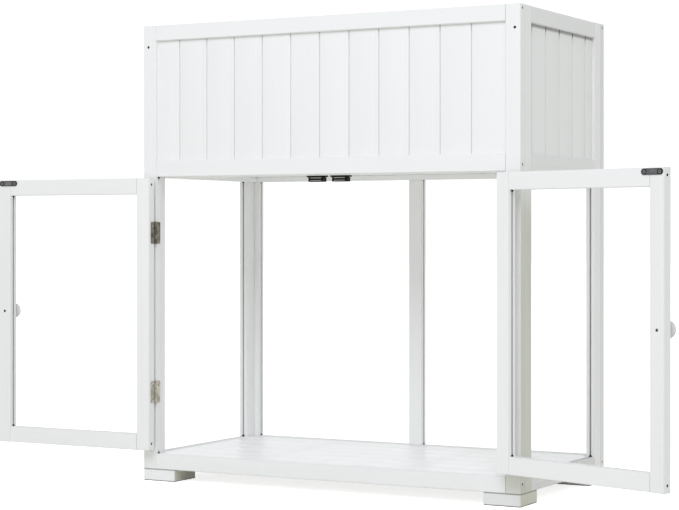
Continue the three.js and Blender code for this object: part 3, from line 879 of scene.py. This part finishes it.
# Doors: stiles and rails like the cabinet's, screwed through the stiles into the rails. The left
# one stands right open at 180 degrees and the right one at 162.

hubs = {joint["child"]: Vector((*joint["pos_m"][:2], 0.0)) for joint in frame["joints"]}
doors = {
    "left_door": (math.radians(-180), hubs["left_door"], 1),
    "right_door": (math.radians(162), hubs["right_door"], -1),
}
for side, (door, (turn, hub, hand)) in enumerate(doors.items()):
    pane_edges = (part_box(door + "_bottom_rail")[1].z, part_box(door + "_top_rail")[0].z)
    for count, part in enumerate(("hinge_stile", "free_stile", "top_rail", "bottom_rail")):
        stick = frame["nodes"][f"{door}_{part}"]
        low, high = corners_of(stick, turn, hub)
        along = longest(low, high)
        seed = 41.3 + 4.7 * side + 1.1 * count
        inner = (hand if part == "hinge_stile" else -hand, 0, 0)
        look = painted_pine(
            f"white_{door}_{part}", low, high, along, seed, turn, hub,
            grooved=(inner, pane_edges, 1.0) if along == "Z" else None,
            # The free stiles are painted a little darker, as shade.
            light_tone=0.975 if part == "free_stile" else 1.0,
        )
        dress(stick, look)

# Knobs: turned from beech on a lathe, with a round base, a short neck and a mushroom head, and
# painted with the doors. A screw through the stile holds each one.


def turned(name, profile, facets):
    """A closed turned shape about Z from (radius, height) points that start and end on the axis."""
    build = bmesh.new()
    rings = []
    for radius, height in profile:
        if radius == 0:
            rings.append([build.verts.new((0.0, 0.0, height))])
            continue
        ring = []
        for i in range(facets):
            angle = 2 * math.pi * i / facets
            ring.append(build.verts.new((radius * math.cos(angle), radius * math.sin(angle), height)))
        rings.append(ring)
    for lower, upper in zip(rings, rings[1:]):
        for i in range(facets):
            j = (i + 1) % facets
            if len(lower) == 1:
                build.faces.new((lower[0], upper[j], upper[i]))
            elif len(upper) == 1:
                build.faces.new((lower[i], lower[j], upper[0]))
            else:
                build.faces.new((lower[i], lower[j], upper[j], upper[i]))
    bmesh.ops.recalc_face_normals(build, faces=build.faces[:])
    piece = keep_built(build, name)
    piece.data.shade_smooth()
    return piece


# The knob's outline in millimetres: the base, the neck, then the head's underside and its crown.
knob_profile = [(0.0, 0.0), (8.4, 0.0), (8.8, 0.15), (9.0, 0.6), (9.0, 2.9), (8.8, 3.5), (8.3, 3.9)]
knob_profile += [(7.4, 4.2), (6.8, 4.8), (6.5, 5.6), (6.45, 6.4), (6.6, 7.0)]
neck_r, neck_top = knob_profile[-1]
head_r = 16.5
crown_rise = 7.0
head_steps = 12
knob_facets = 72
head_angles = [math.pi * i / (2 * head_steps) for i in range(1, head_steps + 1)]
for angle in head_angles:
    swelling = (head_r - neck_r) * math.sin(angle)
    knob_profile.append((neck_r + swelling, neck_top + crown_rise * (1 - math.cos(angle))))
for angle in head_angles[:-1]:
    crown = neck_top + crown_rise + crown_rise * math.sin(angle)
    knob_profile.append((head_r * math.cos(angle), crown))
knob_profile.append((0.0, neck_top + 2 * crown_rise))
knob_profile = [(radius / 1000, height / 1000) for radius, height in knob_profile]
for count, (door, (turn, hub, _)) in enumerate(doors.items()):
    low, high = corners_of(frame["nodes"][door + "_knob"], turn, hub)
    knob = turned(door + "_turned_knob", knob_profile, knob_facets)
    knob.data.transform(
        Matrix.Translation(hub)
        @ Matrix.Rotation(turn, 4, "Z")
        @ Matrix.Translation(((low.x + high.x) / 2, high.y, (low.z + high.z) / 2))
        @ Matrix.Rotation(math.pi / 2, 4, "X")
    )
    seed = 57.9 + 3.3 * count
    # Painted shade: the knobs' paint is darkened.
    look = painted_pine(f"white_{door}_knob", low, high, "Y", seed, turn, hub, ring_mm=2.2, light_tone=0.79)
    dress(knob, look)
    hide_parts(door + "_knob")
    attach(knob, door)

# Hinges: two pairs of 47 mm butt hinges in plated steel gone dull, brown at the edges. One leaf
# is screwed to the post and one to the door's stile, and their knuckles share a riveted pin.


def worn_plating_group():
    """Plating that has dulled: brighter where it is rubbed, brown in patches and along the edges."""
    tree, given, made = effect_group(
        "worn_plating",
        "ShaderNodeTree",
        {
            "Position": "Vector",
            "Edge": 0.0,
            "Plating": (0.5, 0.47, 0.4, 1.0),
            "Tarnish": (0.16, 0.13, 0.085, 1.0),
            "Tarnish share": 0.6,
            "Seed": 0.0,
        },
        {"Colour": "Color", "Roughness": "Float", "Height": "Float"},
    )
    shifted = given["Position"] + given["Seed"] * (2.3, 1.7, 3.1)
    clouds = fade(speckle(shifted, (75.0, 75.0, 75.0), 5.0), 0.36, 0.66)
    grains = speckle(shifted, (900.0, 900.0, 900.0), 2.0)
    drawn = speckle(shifted, (2600.0, 2600.0, 60.0), 1.0)
    share = clouds * given["Tarnish share"] + given["Edge"] * 0.45 + grains * 0.16
    share = reckon("SUBTRACT", share, 0.08, clamp=True)
    results = {
        "Colour": blended(share, given["Plating"], given["Tarnish"]),
        "Roughness": share * 0.26 + 0.27 + drawn * 0.08,
        "Height": drawn * 0.4 + grains * 0.6,
    }
    feed(made, results)
    return tree


worn_plating = worn_plating_group()


def metal(name, plating, tarnish, share=0.6, low=None, high=None, turn=0.0, hub=(0, 0, 0), seed=0.0):
    """Worn metal; with corners given, its edges are browner than its middle."""
    look, tree, shader = new_look(name)
    inputs = {
        "Position": step(tree, "ShaderNodeTexCoord", output="Object"),
        "Plating": (*plating, 1.0),
        "Tarnish": (*tarnish, 1.0),
        "Tarnish share": share,
        "Seed": seed,
    }
    if low is not None:
        own = own_place(tree, turn, hub)
        edge = {"Position": own, "Low corner": low, "High corner": high, "Reach": 0.0012}
        inputs["Edge"] = effect(stick_edges, edge)[0]
    colour, rough, height = effect(worn_plating, inputs)
    relief = step(tree, "ShaderNodeBump", {"Strength": 0.4, "Distance": 0.00012, "Height": height})
    feed(shader, {"Base Color": colour, "Roughness": rough, "Normal": relief, "Metallic": 1.0})
    return look


dull_upper = {"plating": (0.20, 0.19, 0.16), "tarnish": (0.06, 0.054, 0.038), "share": 0.7}
paler_lower = {"plating": (0.46, 0.44, 0.385), "tarnish": (0.17, 0.15, 0.115), "share": 0.5}
leaves = [name for name in frame["nodes"] if "_hinge_" in name and name.endswith("_leaf")]
for count, name in enumerate(leaves):
    leaf = frame["nodes"][name]
    turn, hub, _ = doors["left_door" if name.startswith("left") else "right_door"]
    if name.endswith("post_leaf"):
        turn = 0.0
    low, high = corners_of(leaf, turn, hub)
    finish = dull_upper if "_upper_" in name else paler_lower
    look = metal("plating_" + name, low=low, high=high, turn=turn, hub=hub, seed=0.37 * count, **finish)
    dress(leaf, look)


def screws_tree():
    """Cross-recessed screw heads on points."""
    tree, given, made = effect_group(
        "screw_heads",
        "GeometryNodeTree",
        {
            "Geometry": "Geometry",
            "Head radius": 0.003,
            "Lower radius": 0.0018,
            "Head height": 0.0011,
            "Seated at": -0.0012,
            "Dome": 0.0,
            "Recess length": 0.0034,
            "Recess width": 0.0008,
            "Recess depth": 0.0007,
            "Seed": 0,
            "Metal": "Material",
        },
        {"Geometry": "Geometry"},
    )
    height = given["Head height"]
    head = {
        "Vertices": 20,
        "Side Segments": 1,
        "Fill Segments": 2,
        "Radius Top": given["Head radius"],
        "Radius Bottom": given["Lower radius"],
        "Depth": height,
    }
    head = step(tree, "GeometryNodeMeshCone", head)
    x, y, z = parted(step(tree, "GeometryNodeInputPosition"))
    near_top = reckon("GREATER_THAN", z, height * 0.5)
    share = (measured("LENGTH", joined(x, y)) / given["Head radius"]) ** 2.0
    rise = (1.0 - share) * given["Dome"] * near_top
    head = {"Geometry": head, "Offset": joined(z=rise)}
    cut = put(tree, "GeometryNodeMeshBoolean", operation="DIFFERENCE", solver="EXACT")
    feed(cut, {"Mesh 1": step(tree, "GeometryNodeSetPosition", head)})
    deep = given["Recess depth"] * 2.0
    top = joined(z=height + given["Dome"])
    for across, along in (("Recess length", "Recess width"), ("Recess width", "Recess length")):
        slot = {"Size": joined(given[across], given[along], deep)}
        slot = {"Geometry": step(tree, "GeometryNodeMeshCube", slot), "Translation": top}
        feed(cut, {"Mesh 2": step(tree, "GeometryNodeTransform", slot)})
    head = {"Geometry": Worked(cut.outputs[0]), "Translation": joined(z=given["Seated at"])}
    head = step(tree, "GeometryNodeTransform", head)

    # Each head faces along its point's screw_axis and is left at a turn of its own.
    way = {"Name": "screw_axis"}
    way = step(tree, "GeometryNodeInputNamedAttribute", way, data_type="FLOAT_VECTOR")
    facing = step(tree, "FunctionNodeAlignRotationToVector", {"Vector": way}, axis="Z")
    last_turn = {2: 0.0, 3: math.pi, "Seed": given["Seed"]}
    last_turn = step(tree, "FunctionNodeRandomValue", last_turn, 1, data_type="FLOAT")
    spin = {"Axis": (0.0, 0.0, 1.0), "Angle": last_turn}
    spin = step(tree, "FunctionNodeAxisAngleToRotation", spin)
    facing = {"Rotation": facing, "Rotate By": spin}
    facing = step(tree, "FunctionNodeRotateRotation", facing, rotation_space="LOCAL")
    set_in = {"Points": given["Geometry"], "Instance": head, "Rotation": facing}
    set_in = step(tree, "GeometryNodeInstanceOnPoints", set_in)
    finish_tree(set_in, given["Metal"], made)
    return tree


screw_heads = screws_tree()


def screwed(name, body, spots, sizes):
    """One mesh of screw heads; each spot is a place on the face it is driven into and the way out of it."""
    points = bpy.data.meshes.new(name + "_places")
    points.from_pydata([place for place, _ in spots], [], [])
    ways = points.attributes.new("screw_axis", "FLOAT_VECTOR", "POINT")
    for i, (_, way) in enumerate(spots):
        ways.data[i].vector = way
    heads = grown(name, screw_heads, sizes, places=points)
    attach(heads, body)
    return heads


def on_door(door, across, out, height):
    """A place given in a closed door's own frame, on the door as it stands; across is from the pin."""
    turn, hub, side = doors[door]
    spot = Matrix.Rotation(turn, 3, "Z") @ Vector((side * across, out, 0.0)) + hub
    return (spot.x, spot.y, height)


def out_of_door(door, x, y):
    """A way given in a closed door's own frame, as it points with the door as it stands."""
    turn, _, side = doors[door]
    return tuple(Matrix.Rotation(turn, 3, "Z") @ Vector((side * x, y, 0.0)))


leaf_screw_steel = metal("hinge_screw_steel", (0.28, 0.27, 0.24), (0.10, 0.085, 0.06), 0.5)
leaf_head = {"Metal": leaf_screw_steel, "Head radius": 0.0030, "Lower radius": 0.0019}
hinge_feet = [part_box(f"left_{level}_hinge_door_leaf")[0].z for level in ("lower", "upper")]
leaf_open_face = 0.0002
leaf_screw_out = 0.010
leaf_screw_up = (0.009, 0.038)
for count, (door, (turn, hub, side)) in enumerate(doors.items()):
    on_post = []
    on_leaf = []
    for z in (foot + up for foot in hinge_feet for up in leaf_screw_up):
        post_place = (hub.x - side * leaf_open_face, hub.y + leaf_screw_out, z)
        on_post.append((post_place, (side, 0.0, 0.0)))
        leaf_place = on_door(door, leaf_open_face, leaf_screw_out, z)
        on_leaf.append((leaf_place, out_of_door(door, -1.0, 0.0)))
    post_heads = {**leaf_head, "Seed": 5 + count}
    door_heads = {**leaf_head, "Seed": 9 + count}
    screwed(door + "_post_leaf_screws", "cabinet", on_post, post_heads)
    screwed(door + "_door_leaf_screws", door, on_leaf, door_heads)

# Frame screws: black countersunk screws, driven below the face in their counterbores, through
# the posts and stiles into the ends of the rails, and one through each post's face near the top.

black_steel = metal("black_screw_steel", (0.035, 0.034, 0.034), (0.02, 0.018, 0.017), 0.5)
dull_steel = metal("dull_screw_steel", (0.09, 0.088, 0.085), (0.04, 0.036, 0.033), 0.5)
sunk_head = {
    "Head radius": 0.00285,
    "Lower radius": 0.0016,
    "Head height": 0.0017,
    "Seated at": -0.0032,
    "Recess length": 0.0032,
    "Metal": black_steel,
}
edge_screw_heights = (0.0445, 0.674, 0.982)
face_screw_height = 0.9435
face_screw_in = 0.0125
spots = []
for wall in ("front", "rear"):
    for hand in ("left", "right"):
        low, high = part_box(f"{wall}_stile_{hand}")
        edge = low.x if hand == "left" else high.x
        outwards = -1.0 if hand == "left" else 1.0
        for z in edge_screw_heights:
            spots.append(((edge, (low.y + high.y) / 2, z), (outwards, 0.0, 0.0)))
        face = low.y if wall == "front" else high.y
        way = (0.0, -1.0 if wall == "front" else 1.0, 0.0)
        spots.append(((edge - outwards * face_screw_in, face, face_screw_height), way))
screwed("post_screws", "cabinet", spots, {**sunk_head, "Seed": 21})
door_screw_heights = (0.082, 0.644)
door_face = 0.0035
door_t = 0.020
knob_across = 0.3975
knob_height = 0.363
knob_screw_head = {
    "Head radius": 0.0028,
    "Lower radius": 0.0030,
    "Head height": 0.0005,
    "Seated at": 0.0,
    "Dome": 0.0006,
    "Recess depth": 0.0006,
    "Metal": dull_steel,
}
for count, (door, (turn, hub, _)) in enumerate(doors.items()):
    spots = []
    for part, way in (("hinge_stile", -1.0), ("free_stile", 1.0)):
        low, high = corners_of(frame["nodes"][f"{door}_{part}"], turn, hub)
        near, far = sorted((abs(low.x), abs(high.x)))
        edge = near if way < 0 else far
        for z in door_screw_heights:
            spot = on_door(door, edge, door_face + door_t / 2, z)
            spots.append((spot, out_of_door(door, way, 0.0)))
    screwed(door + "_frame_screws", door, spots, {**sunk_head, "Seed": 25 + count})
    behind_knob = on_door(door, knob_across, door_face + door_t, knob_height)
    spots = [(behind_knob, out_of_door(door, 0.0, 1.0))]
    knob_head = {**knob_screw_head, "Seed": 31 + count}
    screwed(door + "_knob_screw", door, spots, knob_head)

# Strikes: a dark grey keeper with rounded ends on each door, with a raised steel plate in its
# middle for the magnet to pull on, and a bright screw sunk in each end.


def round_ended_plate(name, low, high, eased, seat):
    """A flat plate with round ends between two corners, its face towards +Y with an eased rim."""
    build = bmesh.new()
    radius = (high.z - low.z) / 2
    middle_z = (high.z + low.z) / 2
    arc_steps = 12
    rings = []
    for y, inside in (
        (low.y, 0.0), (high.y - eased, 0.0), (high.y - 0.3 * eased, 0.3 * eased), (high.y, eased)
    ):
        ring = []
        reach = radius - inside
        for end, start in ((high.x - radius, -90), (low.x + radius, 90)):
            for i in range(arc_steps + 1):
                angle = math.radians(start + 180 * i / arc_steps)
                spot = (end + reach * math.cos(angle), y, middle_z + reach * math.sin(angle))
                ring.append(build.verts.new(spot))
        rings.append(ring)
    for lower, upper in zip(rings, rings[1:]):
        for i, vert in enumerate(lower):
            build.faces.new((lower[i - 1], vert, upper[i], upper[i - 1]))
    build.faces.new(rings[0])
    build.faces.new(rings[-1])
    bmesh.ops.recalc_face_normals(build, faces=build.faces[:])
    bmesh.ops.transform(build, matrix=seat, verts=build.verts[:])
    return keep_built(build, name)


keeper_share = 0.84
keeper_eased = 0.0004
raised_half_w = 0.012
raised_half_h = 0.0045
raised_sunk = 0.0007
raised_proud = 0.0003
raised_eased = 0.00025
strike_screw_off = 0.018
keeper_grey = {"plating": (0.044, 0.046, 0.050), "tarnish": (0.026, 0.025, 0.024), "share": 0.6}
raised_steel = {"plating": (0.105, 0.110, 0.118), "tarnish": (0.2, 0.2, 0.21), "share": 0.5}
bright_steel = {"plating": (0.19, 0.185, 0.175), "tarnish": (0.09, 0.085, 0.08), "share": 0.4}
strike_screw_head = {
    "Head radius": 0.0032,
    "Lower radius": 0.0020,
    "Head height": 0.0011,
    "Seated at": -0.0011,
    "Dome": 0.0003,
    "Recess length": 0.0038,
}
for count, (door, (turn, hub, _)) in enumerate(doors.items()):
    name = door + "_strike"
    low, high = corners_of(frame["nodes"][name], turn, hub)
    middle = (low + high) / 2
    low.z = middle.z - keeper_share / 2 * (high.z - low.z)
    high.z = 2 * middle.z - low.z
    seat = Matrix.Translation(hub) @ Matrix.Rotation(turn, 4, "Z")
    keeper = round_ended_plate(door + "_keeper", low, high, keeper_eased, seat)
    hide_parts(name)
    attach(keeper, door)
    grey = metal("grey_" + name, low=low, high=high, turn=turn, hub=hub, seed=1.0 + count, **keeper_grey)
    dress(keeper, grey)
    raised = eased_bar(
        door + "_strike_plate",
        (middle.x - raised_half_w, high.y - raised_sunk, middle.z - raised_half_h),
        (middle.x + raised_half_w, high.y + raised_proud, middle.z + raised_half_h),
        raised_eased,
        seat,
    )
    dress(raised, metal(f"steel_{door}_strike_plate", seed=2.2 + count, **raised_steel))
    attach(raised, door)
    spots = []
    for off in (-strike_screw_off, strike_screw_off):
        place = on_door(door, abs(middle.x) + off, high.y, middle.z)
        spots.append((place, out_of_door(door, 0.0, 1.0)))
    bright = metal(f"bright_{door}_strike_screws", **bright_steel)
    strike_heads = {**strike_screw_head, "Seed": 37 + count, "Metal": bright}
    screwed(door + "_strike_screws", door, spots, strike_heads)

# Magnetic catches: two black plastic housings under the trough, side by side, each screwed up
# through its two ears. Two steel pole plates stand a little proud of the face of the magnet.


def moulded_black(name, seed):
    """Black plastic with a fine spark-eroded grain and a few paler scuffs."""
    look, tree, shader = new_look(name)
    place = step(tree, "ShaderNodeTexCoord", output="Object") + (seed, 0.4 * seed, 0.0)
    spark = speckle(place, (2200.0, 2200.0, 2200.0), 2.0)
    scuffs = fade(speckle(place, (180.0, 180.0, 30.0), 3.0), 0.56, 0.74)
    relief = {"Strength": 0.35, "Distance": 0.0001, "Height": spark}
    surface = {
        "Base Color": blended(scuffs, (0.004, 0.003, 0.0025, 1.0), (0.016, 0.013, 0.011, 1.0)),
        "Roughness": spark * 0.16 + 0.42 + scuffs * 0.14,
        "Specular IOR Level": 0.12,
        "Normal": step(tree, "ShaderNodeBump", relief),
    }
    feed(shader, surface)
    return look


ear_reach = 0.0215
ear_t = 0.003
pole_heights = ((0.6534, 0.6549), (0.6480, 0.6493))
pole_half_w = 0.0131
pole_proud = 0.0001
pole_sunk = 0.0012
pole_eased = 0.00015
pole_steel = {"plating": (0.33, 0.315, 0.29), "tarnish": (0.16, 0.145, 0.125), "share": 0.35}
pan_head = {
    "Head radius": 0.0026,
    "Lower radius": 0.0029,
    "Head height": 0.0008,
    "Seated at": 0.0,
    "Dome": 0.0005,
    "Recess length": 0.0032,
}
for count, name in enumerate(("catch_left", "catch_right")):
    catch = frame["nodes"][name]
    dress(catch, moulded_black("black_" + name, 1.0 + count))
    low, high = corners_of(catch)
    middle = (low + high) / 2
    poles = metal("poles_" + name, seed=4.0 + count, **pole_steel)
    for number, (under, over) in enumerate(pole_heights):
        plate = eased_bar(
            f"{name}_pole_{number + 1}",
            (middle.x - pole_half_w, low.y - pole_proud, under),
            (middle.x + pole_half_w, low.y + pole_sunk, over),
            pole_eased,
        )
        dress(plate, poles)
        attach(plate, "cabinet")
    ears = (middle.x - ear_reach, middle.x + ear_reach)
    spots = [((x, middle.y, high.z - ear_t), (0.0, 0.0, -1.0)) for x in ears]
    ear_heads = {**pan_head, "Seed": 43 + count, "Metal": poles}
    screwed(name + "_screws", "cabinet", spots, ear_heads)

# Studio: a wide pale floor and a white sky, a large soft light at the front right, and the camera
# at the photograph's place, level, a little to the right of the front.


def seen_or_mirrored(tree):
    """1 where the camera or a shiny face looks at it, 0 where it only lights the object."""
    ray = put(tree, "ShaderNodeLightPath").outputs
    return reckon("MAXIMUM", Worked(ray["Is Camera Ray"]), Worked(ray["Is Glossy Ray"]))


bpy.ops.mesh.primitive_circle_add(vertices=64, radius=30.0, fill_type="NGON", location=(0.0, 0.0, 0.0))
floor = bpy.context.object
floor.name = "floor"
paper, tree, shader = new_look("pale_floor")
place = step(tree, "ShaderNodeTexCoord", output="Object")
tone = fade(speckle(place, (40.0, 40.0, 40.0), 4.0), 0.3, 0.7)
surface = {
    "Base Color": blended(tone, (0.845, 0.843, 0.785, 1.0), (0.855, 0.853, 0.795, 1.0)),
    "Roughness": 0.9,
    "Specular IOR Level": 0.2,
    "Emission Color": (1.0, 1.0, 1.0, 1.0),
    "Emission Strength": seen_or_mirrored(tree) * 0.74,
}
feed(shader, surface)
dress(floor, paper)

sky = bpy.data.worlds.new("white_sky")
sky.use_nodes = True
tree = sky.node_tree
strength = fade(seen_or_mirrored(tree), 0.0, 1.0, 0.61, 1.1)
feed(tree.nodes["Background"], {"Color": (1.0, 1.014, 1.014, 1.0), "Strength": strength})
bpy.context.scene.world = sky
bpy.context.scene.view_settings.view_transform = "Standard"

key = bpy.data.lights.new("key", "AREA")
key.shape = "RECTANGLE"
key.size = 3.6
key.size_y = 2.6
key.energy = 103.0
key.color = (0.96, 0.975, 1.07)
lamp = in_scene("key", key)
lamp.location = (1.0, -3.5, 3.9)
aim = Vector((0.0, 0.0, 0.5)) - lamp.location
lamp.rotation_euler = aim.to_track_quat("-Z", "Y").to_euler()

photo_w_px = 679
photo_h_px = 510
focal_px = 1894.29
centre_px = (399.96, 233.27)
lens = bpy.data.cameras.new("camera")
lens.sensor_width = 36.0
lens.lens = focal_px * lens.sensor_width / photo_w_px
lens.shift_x = (photo_w_px / 2 - centre_px[0]) / photo_w_px
lens.shift_y = (centre_px[1] - photo_h_px / 2) / photo_w_px
camera = in_scene("camera", lens)
camera.location = (1.98359, -3.53857, 0.53843)
camera.rotation_euler = (math.radians(90.0), 0.0, math.radians(27.83))
bpy.context.scene.camera = camera
